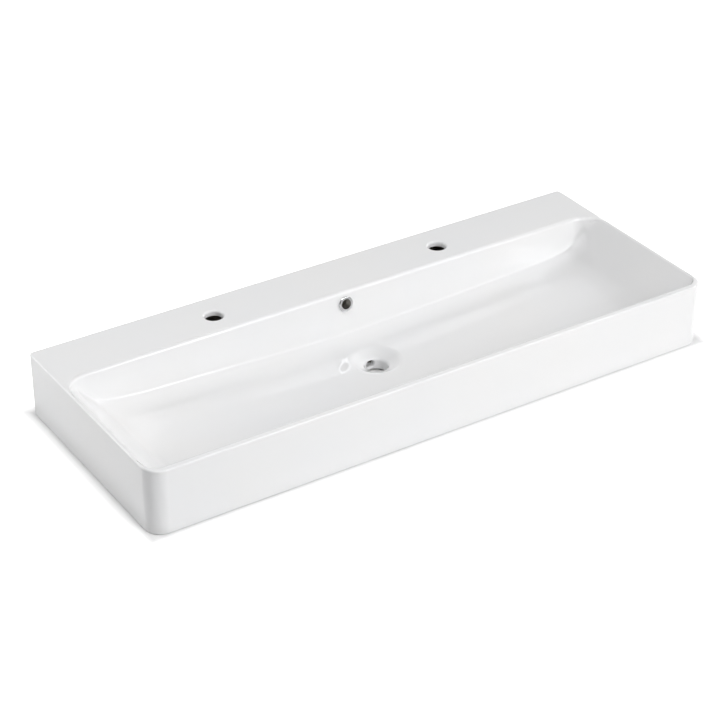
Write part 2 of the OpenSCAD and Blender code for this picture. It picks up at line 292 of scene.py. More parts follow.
def slopes(surface, x, y, h=0.02):
    gx = (surface(x + h, y) - surface(x - h, y)) / (2 * h)
    gy = (surface(x, y + h) - surface(x, y - h)) / (2 * h)
    return gx, gy


def under_level(surface, x, y, level, r):
    """The lower of a steep surface and a level one, their meeting rounded to about r."""
    z = surface(x, y)
    gx, gy = slopes(surface, x, y)
    c = 1 / np.sqrt(1 + gx * gx + gy * gy)
    a, b = level - r, z - r / c
    square = np.maximum((1 + c * c) * r * r - c * c * (a - b) ** 2, 0)
    rounded = (a + c * c * b + np.sqrt(square)) / (1 + c * c)
    return np.where(b >= level, level, np.where(z <= a, z, rounded))


def rimmed(x, y):
    """The deck, the rim and the bowl, before the drain's dish."""
    into_corner = ease((np.abs(x) - RIM_X) / FRONT_MOUTH_R + 1)
    return under_level(bowl, x, y, HEIGHT, RIM_R + (SIDE_RIM_R - RIM_R) * into_corner)


def glazed(x, y):
    r = np.hypot(x, y)
    dish = FLOOR_H - DISH_DEPTH + DISH_SLOPE * (r - DRAIN_R - DRAIN_LIP_R)
    near = r < 2 * DISH_R
    return np.where(near, soft_min_near(rimmed(x, y), dish, DISH_SOFT), rimmed(x, y))


def underside(x, y):
    """The casting's lower face: the deck's, and the skin's under the bowl."""
    return under_level(lambda u, v: bowl(u, v, SKIN_T), x, y, HEIGHT - DECK_T, CAST_R)


def upward(surface, x, y):
    gx, gy = slopes(surface, x, y)
    n = np.stack([-gx, -gy, np.ones_like(gx)], axis=-1)
    return n / np.linalg.norm(n, axis=-1, keepdims=True)


# ---------------------------------------------------------------- meshes made of grids
class Solid:
    """A closed mesh made of grids of points, each point with the normal that it is shaded by.

    bare marks clay that has no glaze."""

    def __init__(self, flip=False, bare=False):
        self.points, self.faces, self.normals, self.unglazed = [], [], [], []
        self.flip = -1 if flip else 1
        self.bare = bare

    def add(self, points, normals):
        start = len(self.points)
        self.points.extend(map(tuple, np.reshape(points, (-1, 3))))
        return start, np.reshape(normals, (-1, 3))

    def grid(self, points, normals, skip=lambda i, j: False, loop=False):
        """Quads over an n by m grid; with loop the last column joins the first."""
        points, normals = np.asarray(points, float), np.asarray(normals, float)
        n, m = points.shape[:2]
        start, flat = self.add(points, normals)
        for i in range(n - 1):
            for j in range(m if loop else m - 1):
                if skip(i, j):
                    continue
                k = (j + 1) % m
                corners = [i * m + j, i * m + k, (i + 1) * m + k, (i + 1) * m + j]
                self.face([start + c for c in corners], flat[corners])

    def face(self, corners, normals):
        self.faces.append(corners)
        self.normals.append(normals)
        self.unglazed.extend([float(self.bare)] * len(corners))

    def cap(self, ring, normal):
        start, flat = self.add(ring, [normal] * len(ring))
        self.face(list(range(start, start + len(ring))), flat)

    def build(self, name, weld=2e-3):
        mesh = bpy.data.meshes.new(name)
        mesh.from_pydata([[c * MM for c in p] for p in self.points], [], self.faces)
        shade = mesh.attributes.new("shade", "FLOAT_VECTOR", "CORNER")
        turned_out = (self.flip * np.concatenate(self.normals)).astype(np.float32)
        shade.data.foreach_set("vector", turned_out.ravel())
        bare = mesh.attributes.new("bare", "FLOAT", "CORNER")
        bare.data.foreach_set("value", np.array(self.unglazed, np.float32))
        work = bmesh.new()
        work.from_mesh(mesh)
        bmesh.ops.remove_doubles(work, verts=work.verts, dist=weld * MM)
        bmesh.ops.recalc_face_normals(work, faces=work.faces)
        open_edges = sum(not e.is_manifold for e in work.edges)
        if open_edges:
            raise ValueError(f"{name} has {open_edges} open edges")
        work.to_mesh(mesh)
        work.free()
        piece = bpy.data.objects.new(name, mesh)
        bpy.context.scene.collection.objects.link(piece)
        return piece


def spread(measure, values, count):
    """count + 1 values at equal steps of a measure that grows along them."""
    return np.interp(np.linspace(0, measure[-1], count + 1), measure, values)


def turned(u, v):
    """How far a line through the points has turned at each of them, without sign."""
    angle = np.unwrap(np.arctan2(np.gradient(v), np.gradient(u)))
    return np.concatenate([[0], np.cumsum(np.abs(np.diff(angle)))])


def travelled(u, v):
    return np.concatenate([[0], np.cumsum(np.hypot(np.diff(u), np.diff(v)))])


def corner_angle(x, inner_x, r):
    return np.arcsin(np.clip((x - inner_x) / r, 0, 1))


class Plan:
    """The outline of a level face: straight sides, round front corners and round back corners."""

    def __init__(self, half_x, front_y, back_y, front_r, back_r):
        self.half_x, self.front_y, self.back_y = half_x, front_y, back_y
        self.front_r, self.back_r = front_r, back_r

    def front(self, x):
        u = np.clip(np.abs(x) - self.half_x + self.front_r, 0, self.front_r)
        return self.front_y + self.front_r - np.sqrt(self.front_r**2 - u * u)

    def back(self, x):
        u = np.clip(np.abs(x) - self.half_x + self.back_r, 0, self.back_r)
        return self.back_y - self.back_r + np.sqrt(self.back_r**2 - u * u)

    def columns(self, surface, y):
        """Places along X: denser where the surface bends at y and where the corners turn."""
        x = np.linspace(0, self.half_x, COLUMN_SAMPLES)
        z = surface(x, np.full_like(x, y))
        measure = travelled(x, z) / (COLUMN_STRETCH * STEP) + turned(x, z) / TURN
        measure += corner_angle(x, self.half_x - self.front_r, self.front_r) / TURN
        back_angle = corner_angle(x, self.half_x - self.back_r, self.back_r)
        measure += back_angle / (BACK_CORNER_STRETCH * TURN)
        right = spread(measure, x, math.ceil(measure[-1]))
        return np.concatenate([-right[:0:-1], right])

    def sheet(self, surface):
        """Points of the surface over the whole outline, column by column, from the back to the front."""
        columns = self.columns(surface, BOWL_FRONT_Y / 2)
        lines = []
        count = 0
        for x in columns:
            y = np.linspace(self.back(x), self.front(x), LINE_SAMPLES)
            z = surface(np.full_like(y, x), y)
            measure = travelled(y, z) / STEP + turned(y, z) / TURN
            lines.append((measure, y))
            count = max(count, math.ceil(measure[-1]))
        y = np.array([spread(measure, line, count) for measure, line in lines])
        return np.repeat(columns[:, None], count + 1, axis=1), y

    def rim(self, x, y):
        """The sheet's border, anticlockwise from above, with the outward direction at each point."""
        border = [(x[i, -1], y[i, -1]) for i in range(len(x))]
        border += [(x[-1, j], y[-1, j]) for j in range(x.shape[1] - 2, -1, -1)]
        border += [(x[i, 0], y[i, 0]) for i in range(len(x) - 2, -1, -1)]
        border += [(x[0, j], y[0, j]) for j in range(1, x.shape[1] - 1)]
        out = []
        for px, py in border:
            side = math.copysign(1, px)
            in_front = py < self.front_y + self.front_r - NEAR
            r = self.front_r if in_front else self.back_r
            cx = self.half_x - r
            cy = self.front_y + r if in_front else self.back_y - r
            at_corner = abs(px) > cx + NEAR and r > 0 and (in_front or py > cy + NEAR)
            if at_corner:
                out.append((side * (abs(px) - cx) / r, (py - cy) / r))
            elif abs(px) > self.half_x - NEAR:
                out.append((side, 0))
            else:
                out.append((0, -1 if in_front else 1))
        return np.array(border), np.array(out)


def skirt(solid, border, out, profile):
    """Rings round a border: profile has (offset outwards, height, normal's outward and upward parts)."""
    points, normals = [], []
    for offset, z, n_out, n_up in profile:
        ring = [(px + offset * ox, py + offset * oy, z) for (px, py), (ox, oy) in zip(border, out)]
        points.append(ring)
        normals.append([(n_out * ox, n_out * oy, n_up) for ox, oy in out])
    solid.grid(points, normals, loop=True)
    return points[-1]


def block(x, y, inside):
    """The rectangle of cells whose corners are inside: first and last column, first and last row."""
    hits = np.argwhere(inside(x, y))
    (i0, j0), (i1, j1) = hits.min(0), hits.max(0)
    return i0, i1, j0, j1


def around(i0, i1, j0, j1):
    ring = [(i, j0) for i in range(i0, i1)] + [(i1, j) for j in range(j0, j1)]
    return ring + [(i, j1) for i in range(i1, i0, -1)] + [(i0, j) for j in range(j1, j0, -1)]


def hole_patch(solid, border, place, surface, radii, lip, tube_to):
    """Fills a block's place with rings that run from its border into a round hole.

    border has the block's corners as (u, v) about the hole's middle, their points and their normals.
    place turns (u, v, w) into a point, and surface gives w at (u, v) with its normal. radii are the rings
    on the surface, and lip has the rings (r, w, outward part, upward part) of the lip and the wall."""
    (u, v), border_points, border_normals = border
    angle = np.arctan2(v, u)
    rings = []
    for r in radii:
        rings.append((r * np.cos(angle), r * np.sin(angle)))
    first = rings[0]
    eased = [((1 - s) * u + s * first[0], (1 - s) * v + s * first[1]) for s in (1 / 3, 2 / 3)]
    points, normals = [border_points], [border_normals]
    for ru, rv in eased + rings:
        w, n = surface(ru, rv)
        points.append(place(np.stack([ru, rv, w], -1)))
        normals.append(place(n, False))
    for r, w, n_out, n_up in lip + [(lip[-1][0], tube_to, -1, 0)]:
        ring = np.stack([r * np.cos(angle), r * np.sin(angle), np.full_like(angle, w)], -1)
        turn = np.stack([n_out * np.cos(angle), n_out * np.sin(angle), np.full_like(angle, n_up)], -1)
        points.append(place(ring))
        normals.append(place(turn, False))
    solid.grid(points, normals, loop=True)
    solid.cap(points[-1], place(np.array([0, 0, 1.0]), False))


def arc(centre_r, centre_w, r, first, last, steps=7):
    """Rings of a lip: an arc that bulges towards the hole's axis, from angle first to last above level."""
    rings = []
    for a in np.linspace(first, last, steps):
        rings.append((centre_r - r * math.cos(a), centre_w + r * math.sin(a), -math.cos(a), math.sin(a)))
    return rings


# ---------------------------------------------------------------- the basin
def edge_profile():
    """The outer edge from the rim down to the foot."""
    upper, lower = [], []
    for a in np.linspace(0, math.pi / 2, 8):
        s, c = math.sin(a), math.cos(a)
        upper.append((EDGE_R * s, HEIGHT - EDGE_R + EDGE_R * c, s, c))
        lower.append((EDGE_R * c, EDGE_R - EDGE_R * s, c, -s))
    return upper + lower


def overflow_place(p, is_point=True):
    """Turns (along X, up the wall, out into the bowl) about the overflow's middle into the basin's frame."""
    across = np.array([1.0, 0, 0])
    up = np.array([0, math.sin(BACK_LEAN), math.cos(BACK_LEAN)])
    out = np.array([0, -math.cos(BACK_LEAN), math.sin(BACK_LEAN)])
    middle = np.array([0, OVERFLOW_Y, OVERFLOW_Z]) if is_point else 0
    p = np.asarray(p, float)
    return middle + p[..., 0:1] * across + p[..., 1:2] * up + p[..., 2:3] * out


def upright_place(cx, cy):
    return lambda p, is_point=True: np.asarray(p, float) + (np.array([cx, cy, 0]) if is_point else 0)


def blank():
    """The casting with its glazed face and outer walls, still solid underneath."""
    solid = Solid()
    front_r, back_r = FRONT_CORNER_R - EDGE_R, BACK_CORNER_R - EDGE_R
    plan = Plan(HALF_L - EDGE_R, FRONT_Y + EDGE_R, BACK_Y - EDGE_R, front_r, back_r)
    x, y = plan.sheet(rimmed)
    z = glazed(x, y)
    for border in (np.s_[0], np.s_[-1], np.s_[:, 0], np.s_[:, -1]):
        z[border] = HEIGHT
    sheet, turns = np.stack([x, y, z], -1), upward(glazed, x, y)
    holes = []

    def upright_surface(cx, cy):
        return lambda u, v: (glazed(u + cx, v + cy), upward(glazed, u + cx, v + cy))

    def border_of(cells, cx, cy):
        i, j = np.array(around(*cells)).T
        return (x[i, j] - cx, y[i, j] - cy), sheet[i, j], turns[i, j]

    # the drain, with the rings of its dish
    cells = block(x, y, lambda x, y: (np.abs(x) < DISH_PATCH) & (np.abs(y) < DISH_PATCH))
    lean = math.atan(DISH_SLOPE)
    lip_end = math.pi / 2 - lean
    lip_r = DRAIN_R + DRAIN_LIP_R
    lip_end_r = lip_r - DRAIN_LIP_R * math.cos(lip_end)
    lip_z = FLOOR_H - DISH_DEPTH + DISH_SLOPE * (lip_end_r - lip_r) - DRAIN_LIP_R * math.sin(lip_end)
    radii = list(np.linspace(DISH_R + DISH_EDGE_BAND, DISH_R - DISH_EDGE_BAND, 13))
    radii += list(np.linspace(DISH_R - DISH_INNER_BAND, lip_end_r, 5))
    lip = arc(lip_r, lip_z, DRAIN_LIP_R, lip_end, 0)[1:]
    border = border_of(cells, 0, 0)
    hole_patch(solid, border, upright_place(0, 0), upright_surface(0, 0), radii, lip, BOSS_SEAT / 2)
    holes.append(cells)

    # the tap holes
    for side in (-1, 1):
        cx, cy = side * TAP_X, TAP_Y
        cells = block(x, y, lambda x, y: (np.abs(x - cx) < TAP_PATCH) & (np.abs(y - cy) < TAP_PATCH))
        border = border_of(cells, cx, cy)
        lip = arc(TAP_R + TAP_LIP_R, HEIGHT - TAP_LIP_R, TAP_LIP_R, math.pi / 2, 0)[1:]
        radii = [TAP_R + TAP_LIP_R + 1, TAP_R + TAP_LIP_R]
        place, surface = upright_place(cx, cy), upright_surface(cx, cy)
        hole_patch(solid, border, place, surface, radii, lip, HEIGHT - TAP_TUBE_H)
        holes.append(cells)

    # the overflow hole in the back wall
    def on_wall(x, y):
        level = np.abs(glazed(x, y) - OVERFLOW_Z) < OVERFLOW_PATCH_Z
        return (np.abs(x) < OVERFLOW_PATCH_X) & level & (y > 0)

    def wall_surface(u, v):
        return np.zeros_like(u), np.stack([0 * u, 0 * u, 1 + 0 * u], -1)

    cells = block(x, y, on_wall)
    (across, _), points, normals = border_of(cells, 0, 0)
    border = (across, (points[:, 2] - OVERFLOW_Z) / math.cos(BACK_LEAN)), points, normals
    lip = arc(OVERFLOW_R + OVERFLOW_LIP_R, -OVERFLOW_LIP_R, OVERFLOW_LIP_R, math.pi / 2, 0, 4)[1:]
    radii = [OVERFLOW_R + 3, OVERFLOW_R + 1]
    hole_patch(solid, border, overflow_place, wall_surface, radii, lip, -SKIN_T - CHANNEL_D / 2)
    holes.append(cells)

    def in_hole(i, j):
        return any(i0 <= i < i1 and j0 <= j < j1 for i0, i1, j0, j1 in holes)

    solid.grid(sheet, turns, skip=in_hole)
    border, out = plan.rim(x, y)
    foot = skirt(solid, border, out, edge_profile())
    solid.bare = True
    solid.cap(foot, (0, 0, -1))
    return solid.build("blank")


def under_space():
    """The open space under the skin and the deck, before the webs and bosses stand in it."""
    solid = Solid(flip=True, bare=True)
    half_x = HALF_L - APRON_T
    plan = Plan(half_x, FRONT_Y + APRON_T, BACK_Y - BACK_T, FRONT_CORNER_R - APRON_T, SPACE_BACK_R)
    x, y = plan.sheet(underside)
    z = underside(x, y)
    solid.grid(np.stack([x, y, z], -1), upward(underside, x, y))
    border, out = plan.rim(x, y)
    top = [underside(px, py) for px, py in border]
    upper = [(px, py, pz) for (px, py), pz in zip(border, top)]
    points = [upper, [(px, py, -OVERRUN) for px, py in border]]
    sides = [[(ox, oy, 0) for ox, oy in out]] * 2
    solid.grid(points, sides, loop=True)
    solid.cap(points[-1], (0, 0, -1))
    return solid.build("under_space")


def prism(name, section, half_w, flip=False):
    """A section in Y and Z, given anticlockwise seen from +X, run along X to both sides of the middle."""
    solid = Solid(flip, bare=True)
    count = len(section)
    for k in range(count):
        (y0, z0), (y1, z1) = section[k], section[(k + 1) % count]
        long = math.hypot(y1 - y0, z1 - z0)
        normal = (0, (z1 - z0) / long, -(y1 - y0) / long)
        points = [[(-half_w, y0, z0), (-half_w, y1, z1)], [(half_w, y0, z0), (half_w, y1, z1)]]
        solid.grid(points, [[normal] * 2] * 2)
    for s in (-1, 1):
        solid.cap([(s * half_w, y, z) for y, z in section], (s, 0, 0))
    return solid.build(name)


def web(name, x):
    """A stiffening web across the basin, its lower edges rounded."""
    solid = Solid(bare=True)
    half, r = WEB_T / 2, WEB_EDGE_R
    right = []
    for a in np.linspace(0, math.pi / 2, 6):
        s, c = math.sin(a), math.cos(a)
        right.append((half - r + r * s, WEB_CLEAR + r - r * c, s, -c))
    left = [(-px, pz, -nx, nz) for px, pz, nx, nz in reversed(right)]
    top = HEIGHT - DECK_T / 2
    line = [(-half, top, -1, 0)] + left + right + [(half, top, 1, 0)]
    y0, y1 = FRONT_Y + APRON_T / 2, BACK_Y - BACK_T / 2
    points = [[(x + px, py, pz) for px, pz, _, _ in line] for py in (y0, y1)]
    solid.grid(points, [[(nx, 0, nz) for _, _, nx, nz in line]] * 2)
    lid = [[(x + half, y0, top), (x - half, y0, top)], [(x + half, y1, top), (x - half, y1, top)]]
    solid.grid(lid, [[(0, 0, 1)] * 2] * 2)
    for py, n in ((y0, -1), (y1, 1)):
        solid.cap([(x + px, py, pz) for px, pz, _, _ in line], (0, n, 0))
    return solid.build(name)


def revolved(name, profile, place, flip=False, steps=96):
    """A closed profile of (r, w, outward part, upward part), from the axis round to the axis again."""
    solid = Solid(flip, bare=True)
    angle = np.arange(steps) * 2 * math.pi / steps
    points, normals = [], []
    for r, w, n_out, n_up in profile:
        ring = np.stack([r * np.cos(angle), r * np.sin(angle), np.full_like(angle, w)], -1)
        turn = np.stack([n_out * np.cos(angle), n_out * np.sin(angle), np.full_like(angle, n_up)], -1)
        points.append(place(ring))
        normals.append(place(turn, False))
    for k in range(len(profile) - 1):
        if profile[k][:2] != profile[k + 1][:2]:
            solid.grid(points[k : k + 2], normals[k : k + 2], loop=True)
    solid.cap(points[0], place(np.array([0, 0, -1.0]), False))
    solid.cap(points[-1], place(np.array([0, 0, 1.0]), False))
    return solid.build(name)


def wall_place(x):
    """Turns (u, v, w) about a wall fixing into the basin's frame, w into the wall."""

    def place(p, is_point=True):
        p = np.asarray(p, float)
        middle = np.array([x, BACK_Y, FIXING_H]) if is_point else 0
        return middle + np.stack([-p[..., 0], p[..., 2], p[..., 1]], -1)

    return place


def fixing_places():
    return [(i - (FIXING_COUNT - 1) / 2) * FIXING_SPACING for i in range(FIXING_COUNT)]


def behind(z, off):
    """A plane parallel to the back wall at a distance behind it."""
    return BOWL_BACK_Y - math.tan(BACK_LEAN) * (HEIGHT - z) + off / math.cos(BACK_LEAN)


def route(off, top_z, end_y):
    """The overflow channel's route down behind the wall and along under the floor to the drain."""
    foot_z = float(trough(0.0, BOWL_BACK_Y - CHANNEL_FOOT_D))
    line = [(behind(top_z, off), top_z), (behind(foot_z - off, off), foot_z - off)]
    for y in (BOWL_BACK_Y - BAND_D / 2, BOWL_BACK_Y - BAND_D):
        line.append((y, float(trough(0.0, y)) - off))
    return line + [(end_y, FLOOR_H - off)]


def channel(name, half_w, near, far, top_z, end_y):
    section = route(far, top_z, end_y) + route(near, top_z, end_y)[::-1]
    return prism(name, section[::-1], half_w, flip=name == "channel_space")


def port():
    """The overflow's outlet: a slot with round ends through the boss into the drain hole."""
    solid = Solid(flip=True)
    z = FLOOR_H - SKIN_T + CHANNEL_SEAT - PORT_H / 2 - PORT_DROP
    r, half = PORT_H / 2, (PORT_W - PORT_H) / 2
    bend = np.linspace(-math.pi / 2, math.pi / 2, 13)
    line = [(half + r * math.cos(a), z + r * math.sin(a), math.cos(a), math.sin(a)) for a in bend]
    line += [(-px, 2 * z - pz, -nx, -nz) for px, pz, nx, nz in line]
    end_y = CHANNEL_END_Y + 3
    points = [[(px, py, pz) for px, pz, _, _ in line] for py in (0, end_y)]
    solid.grid(points, [[(nx, 0, nz) for _, _, nx, nz in line]] * 2, loop=True)
    solid.cap(points[0], (0, -1, 0))
    solid.cap(points[1], (0, 1, 0))
    return solid.build("port")


def boss_profile():
    """The boss under the drain: a seat, an upright wall, and a flare that dies into the skin."""
    r, edge = DRAIN_R + BOSS_T, BOSS_EDGE_R
    rings = [(r - edge, BOSS_SEAT, 0, -1)]
    for a in np.linspace(0, math.pi / 2, 5):
        s, c = math.sin(a), math.cos(a)
        rings.append((r - edge + edge * s, BOSS_SEAT + edge - edge * c, s, -c))
    top = FLOOR_H - SKIN_T
    for a in np.linspace(0, math.pi / 2, 10):
        s, c = math.sin(a), math.cos(a)
        rings.append((r + BOSS_FLARE * (1 - c), top - BOSS_FLARE_H + BOSS_FLARE_H * s, c, -s))
    return rings + [(r + BOSS_FLARE, FLOOR_H - SKIN_T / 2, 1, 0)]


def combine(piece, others, operation):
    for other in others:
        cut = piece.modifiers.new(other.name, "BOOLEAN")
        cut.operation = operation
        cut.solver = "MANIFOLD"
        cut.object = other
    bpy.context.view_layer.update()
    ready = piece.evaluated_get(bpy.context.evaluated_depsgraph_get())
    mesh = bpy.data.meshes.new_from_object(ready)
    piece.modifiers.clear()
    piece.data = mesh
    for other in others:
        bpy.data.objects.remove(other)
    return piece


def shade(piece):
    """Every corner takes the normal that its own surface has there."""
    mesh = piece.data
    count = len(mesh.loops)
    given = np.zeros(count * 3, np.float32)
    mesh.attributes["shade"].data.foreach_get("vector", given)
    given = given.reshape(-1, 3)
    size = np.linalg.norm(given, axis=1, keepdims=True)
    flat = np.zeros(len(mesh.polygons) * 3, np.float32)
    mesh.polygons.foreach_get("normal", flat)
    sides = np.zeros(len(mesh.polygons), np.int32)
    mesh.polygons.foreach_get("loop_total", sides)
    flat = np.repeat(flat.reshape(-1, 3), sides, axis=0)
    given = np.where(size > SHORT_NORMAL, given / np.maximum(size, 1e-6), flat)
    given = np.where((given * flat).sum(1, keepdims=True) > LEAST_FACING, given, flat)
    mesh.shade_smooth()
    mesh.normals_split_custom_set(given.tolist())
    mesh.attributes.remove(mesh.attributes["shade"])


def basin():
    space = under_space()
    upright = upright_place(0, 0)
    pad_from, pad_to = -BACK_T - FIXING_PAD_T, -BACK_T / 2
    bodies = [web(f"web_{k}", s * WEB_X) for k, s in enumerate((-1, 1))]
    near = SKIN_T - CHANNEL_SEAT
    walls_w, walls_to = CHANNEL_W / 2 + CHANNEL_T, near + CHANNEL_D + CHANNEL_T
    walls_top, walls_end_y = HEIGHT - DECK_T / 2, DRAIN_R + BOSS_T - 3
    bodies.append(channel("channel_walls", walls_w, SKIN_T / 2, walls_to, walls_top, walls_end_y))
    bodies.append(revolved("boss", boss_profile(), upright))
    for k, x in enumerate(fixing_places()):
        pad = [(FIXING_PAD_R, pad_from, 1, 0), (FIXING_PAD_R, pad_to, 1, 0)]
        bodies.append(revolved(f"pad_{k}", pad, wall_place(x)))
    combine(space, bodies, "DIFFERENCE")

    cuts = [space, port()]
    top = OVERFLOW_Z + OVERFLOW_R
    cuts.append(channel("channel_space", CHANNEL_W / 2, near, near + CHANNEL_D, top, CHANNEL_END_Y))
    for k, x in enumerate(fixing_places()):
        bore = [(FIXING_R, -BACK_T - FIXING_PAD_T - OVERRUN, 1, 0), (FIXING_R, OVERRUN, 1, 0)]
        cuts.append(revolved(f"bore_{k}", bore, wall_place(x), flip=True))
    piece = combine(blank(), cuts, "DIFFERENCE")
    piece.name = "glazed_basin"
    piece.data.name = "glazed_basin"
    shade(piece)
    return piece


# ---------------------------------------------------------------- materials
GLAZE_COOL = (0.850, 0.855, 0.865)
GLAZE_WARM = (0.865, 0.863, 0.862)
# Unglazed clay, darker than its own tone: painted shade, so the hollow overflow channel and its port look
# deep
CLAY_WITH_SHADE_DARK = (0.47, 0.44, 0.395)
CLAY_WITH_SHADE_PALE = (0.58, 0.55, 0.5)
CHROME_DARK = (0.74, 0.745, 0.755)
CHROME_PALE = (0.8, 0.805, 0.81)
PLASTIC_DARK = (0.035, 0.035, 0.038)
PLASTIC_PALE = (0.05, 0.05, 0.054)
RUBBER_DARK = (0.06, 0.06, 0.062)
RUBBER_PALE = (0.085, 0.085, 0.088)


class Nodes:
    """Adds nodes to a tree and joins them."""

    def __init__(self, owner):
        owner.use_nodes = True
        self.tree = owner.node_tree
        self.tree.nodes.clear()

    def add(self, kind, inputs=None, **settings):
        """A node; inputs sets its sockets, by name or number, to a value or to another node's output."""
        node = self.tree.nodes.new(kind)
        for name, value in settings.items():
            setattr(node, name, value)
        for name, value in (inputs or {}).items():
            if isinstance(value, bpy.types.NodeSocket):
                self.tree.links.new(value, node.inputs[name])
            else:
                node.inputs[name].default_value = value
        return node

    def math(self, operation, a, b=0.0):
        return self.add("ShaderNodeMath", {0: a, 1: b}, operation=operation).outputs[0]

    def noise(self, where, scale, detail=2.0, roughness=0.5):
        inputs = {"Vector": where, "Scale": scale, "Detail": detail, "Roughness": roughness}
        return self.add("ShaderNodeTexNoise", inputs).outputs["Fac"]

    def ranged(self, value, low, high, from_low=0.3, from_high=0.7):
        inputs = {0: value, 1: from_low, 2: from_high, 3: low, 4: high}
        return self.add("ShaderNodeMapRange", inputs).outputs[0]

    def mix(self, factor, a, b):
        node = self.add("ShaderNodeMix", {0: factor}, data_type="RGBA")
        for socket, value in ((6, a), (7, b)):
            if isinstance(value, bpy.types.NodeSocket):
                self.tree.links.new(value, node.inputs[socket])
            else:
                node.inputs[socket].default_value = (*value, 1)
        return node.outputs[2]

    def bump(self, height, distance, under=None):
        inputs = {"Height": height, "Distance": distance}
        if under is not None:
            inputs["Normal"] = under
        return self.add("ShaderNodeBump", inputs).outputs["Normal"]

    def surface(self, inputs):
        shader = self.add("ShaderNodeBsdfPrincipled", inputs)
        self.finish(shader.outputs[0])

    def finish(self, shader, kind="ShaderNodeOutputMaterial"):
        self.add(kind, {"Surface": shader})


def material(name):
    made = bpy.data.materials.new(name)
    nodes = Nodes(made)
    return made, nodes, nodes.add("ShaderNodeTexCoord").outputs["Object"]


def glaze():
    """White glaze over the clay, and bare clay where the casting is open underneath; the bare clay is darker
    than its own tone, painted shade that makes the overflow channel and port look deep.
    """
    made, nodes, where = material("glaze")
    bare = nodes.add("ShaderNodeAttribute", attribute_name="bare").outputs["Fac"]
    clouds = nodes.ranged(nodes.noise(where, 5, 3), 0, 1)
    white = nodes.mix(clouds, GLAZE_COOL, GLAZE_WARM)
    # The bare clay's colour is its own tone darkened with painted shade
    clay = nodes.mix(nodes.ranged(nodes.noise(where, 60, 6, 0.7), 0, 1), CLAY_WITH_SHADE_DARK, CLAY_WITH_SHADE_PALE)
    gloss = nodes.ranged(nodes.noise(where, 14, 2), 0.03, 0.06)
    peel = nodes.bump(nodes.noise(where, 55, 1), 0.00002)
    grain = nodes.math("MULTIPLY", nodes.noise(where, 1400, 3, 0.7), bare)
    nodes.surface(
        {
            "Base Color": nodes.mix(bare, white, clay),
            "Roughness": nodes.ranged(bare, gloss, 0.8, 0, 1),
            "IOR": 1.55,
            "Normal": nodes.bump(grain, 0.00025, peel),
        }
    )
    return made


def chrome():
    """Polished chrome with faint smears and polishing lines."""
    made, nodes, where = material("ring_chrome")
    smears = nodes.noise(where, 160, 4, 0.6)
    nodes.surface(
        {
            "Base Color": nodes.mix(nodes.ranged(smears, 0, 1), CHROME_DARK, CHROME_PALE),
            "Metallic": 1.0,
            "Roughness": nodes.ranged(smears, 0.06, 0.16),
            "Normal": nodes.bump(nodes.noise(where, 2500, 2), 0.000004),
        }
    )
    return made


def moulded(name, dark, pale, roughness, grain, depth):
    """Moulded plastic or rubber, with a fine matt grain."""
    made, nodes, where = material(name)
    fine = nodes.noise(where, grain, 4, 0.6)
    nodes.surface(
        {
            "Base Color": nodes.mix(nodes.ranged(nodes.noise(where, 90, 3), 0, 1), dark, pale),
            "Roughness": nodes.ranged(fine, roughness - 0.08, roughness + 0.08),
            "Normal": nodes.bump(fine, depth),
        }
    )
    return made


def dress(name, made):
    slots = bpy.data.objects[name].material_slots
    for slot in slots:
        slot.material = made


sink = basin()
sink.data.materials.clear()
sink.data.materials.append(glaze())
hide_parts("basin")
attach(sink, "root")

dress("overflow_ring", chrome())
dress("overflow_sleeve", moulded("sleeve_plastic", PLASTIC_DARK, PLASTIC_PALE, 0.5, 3000, 0.00003))
dress("overflow_gasket", moulded("gasket_rubber", RUBBER_DARK, RUBBER_PALE, 0.72, 2000, 0.00004))


# ---------------------------------------------------------------- the studio
FLOOR_HALF = 15.0
FLOOR_COLOUR = (0.8, 0.8, 0.8, 1)
FLOOR_LIFT = 0.75
# How far out from the sink's outline the floor's glow fades in: a painted soft shadow round the foot
PAINTED_SHADOW_REACH = 0.03

LAMP_DISTANCE = 2.6
LAMP_AIM = (0, 0, 0.1)
LAMP_BASE = 0.05

# Bearing and height in degrees, width and height in metres, strength, and the distance if not LAMP_DISTANCE.
# The values start from a least-squares fit to the photograph's brightness and were then rounded and moved.
LAMPS = [
    (60, 66, 0.9, 0.9, 0.37),
    (135, 30, 0.9, 0.9, 0.255),
    (345, 30, 1.8, 1.8, 0.28, 5.2),
    (135, 4, 0.9, 0.9, 0.2),
    (285, 30, 1.8, 1.8, 0.12, 5.2),
    (318, 47, 1.2, 0.6, 0.155),
    (330, 16, 1.8, 1.8, 0.16, 5.2),
    (255, 30, 1.5, 1.5, 0.135),
    (240, 16, 0.9, 0.9, 0.085),
    (0, 46, 0.9, 0.9, 0.085),
    (15, 30, 0.9, 0.9, 0.01),
    (0, 16, 0.9, 0.9, 0.01),
    (204, 31, 2.4, 0.9, 0.05),
    (217, 20, 1.2, 0.12, 0.006),
]


